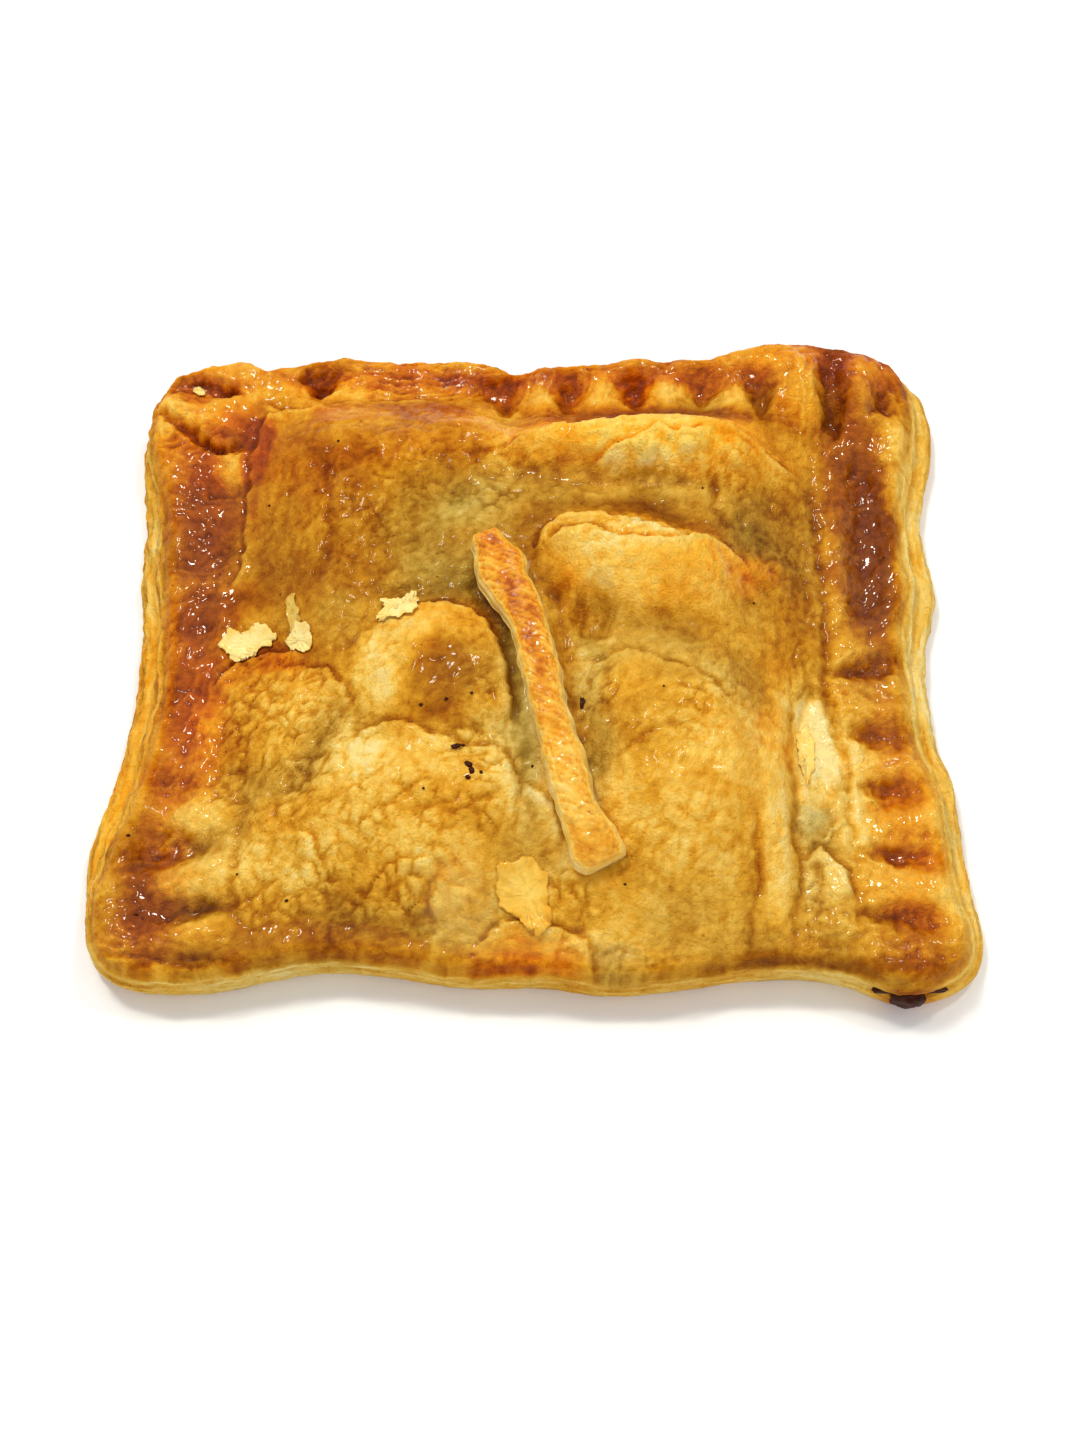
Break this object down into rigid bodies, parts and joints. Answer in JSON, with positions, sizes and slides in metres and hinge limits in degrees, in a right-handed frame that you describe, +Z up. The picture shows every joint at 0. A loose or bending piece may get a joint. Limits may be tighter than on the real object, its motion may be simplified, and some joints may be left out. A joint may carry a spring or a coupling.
{
  "type": "rectangular puff pastry pie",
  "caption": "Whole rectangular puff pastry pie with a hand-pinched rim, a lumpy glazed lid and a loose strip of pastry baked on top.",
  "frame": {"origin": "middle of the outline, on the table", "axes": "+X to the right along the long side, +Y towards the back rim, +Z up"},
  "size_m": [0.1808, 0.1554, 0.0321],
  "materials": {
    "crust": "baked puff pastry with an egg glaze, golden, browner and glossier at the rim",
    "strip": "baked pastry offcut with an egg glaze, golden brown"
  },
  "bodies": {
    "root": {"crust": "crust", "strip": "strip"}
  },
  "joints": []
}
